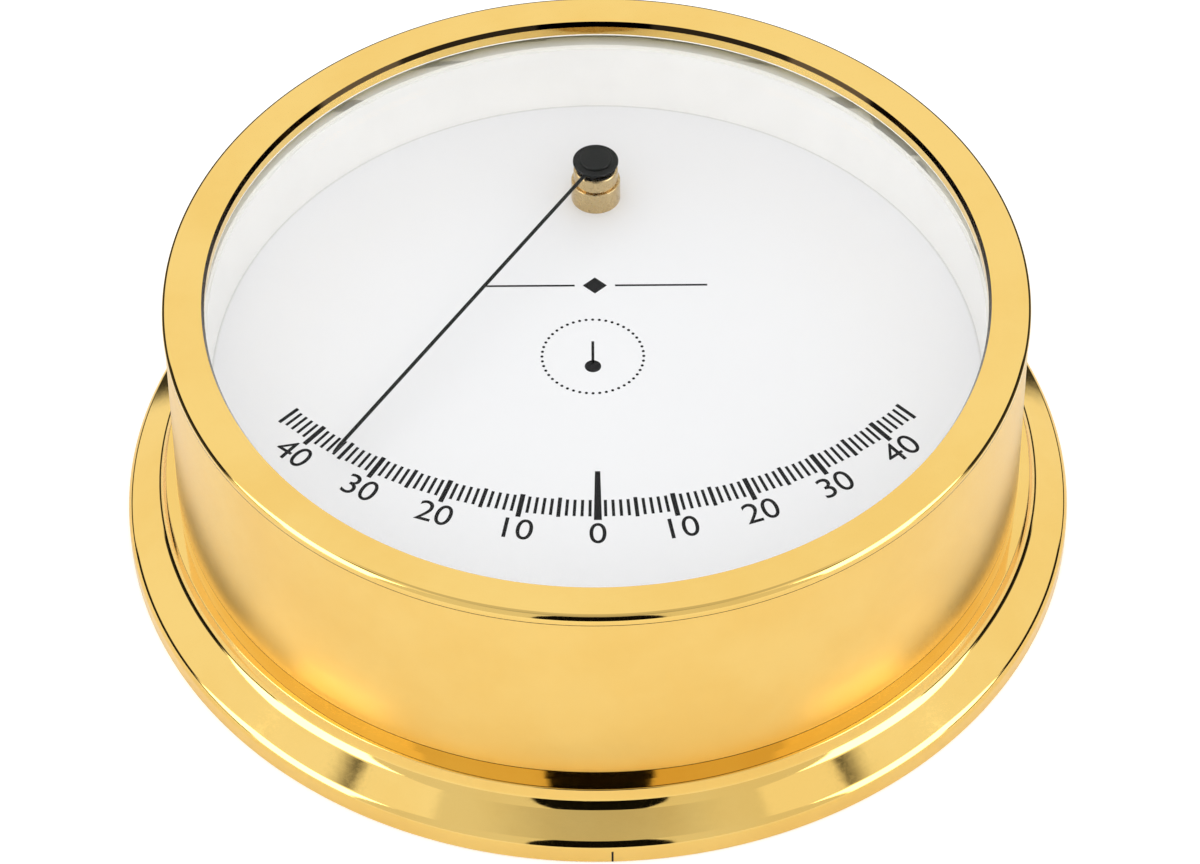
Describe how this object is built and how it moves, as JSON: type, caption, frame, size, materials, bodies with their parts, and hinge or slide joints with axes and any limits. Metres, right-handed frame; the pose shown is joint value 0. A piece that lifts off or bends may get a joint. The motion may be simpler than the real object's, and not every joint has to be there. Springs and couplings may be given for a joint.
{
  "type": "bulkhead inclinometer",
  "caption": "Round polished brass inclinometer with a moulded foot flange, flat bezel, glazed degree dial and a needle swung by a pendulum behind the dial",
  "frame": {"origin": "centre of the flange's back face, which rests on the table or bulkhead", "axes": "+Z out of the dial, -Y towards the zero mark, +X to the reader's right"},
  "size_m": [0.12, 0.12, 0.0376],
  "materials": {
    "brass": "mirror polished",
    "glass": "clear",
    "rubber": "matt",
    "pale_rubber": "translucent",
    "white_plastic": "satin",
    "dial_white": "satin white",
    "bush_plastic": "plain",
    "steel": "bright",
    "black": "satin black"
  },
  "bodies": {
    "case": {"case_shell": "brass", "bezel_ring": "brass", "glass_pane": "glass", "glass_seal": "rubber", "spacer_gasket": "pale_rubber", "spacer_ring": "white_plastic", "dial_plate": "dial_white", "dial_seat_ring": "brass", "dial_pins": "steel", "pivot_post": "brass", "post_washer": "brass", "post_nut": "brass", "front_bush": "bush_plastic", "rear_bush": "bush_plastic", "back_plate": "brass", "back_seal": "rubber", "case_lugs": "brass", "back_screws": "brass"},
    "pendulum": {"arbor": "steel", "thrust_washer": "steel", "needle_hub": "black", "hub_cap": "black", "needle": "black", "arbor_clip": "steel", "pendulum_collar": "brass", "collar_set_screw": "steel", "pendulum_arm": "brass", "bob": "brass", "bob_screw": "steel"}
  },
  "joints": [
    {"name": "pendulum_swing", "type": "hinge", "parent": "case", "child": "pendulum", "pos_m": [0, 0.0313, 0.0237], "axis": [0, 0, 1], "range_deg": [-21.6, 90.4]}
  ]
}
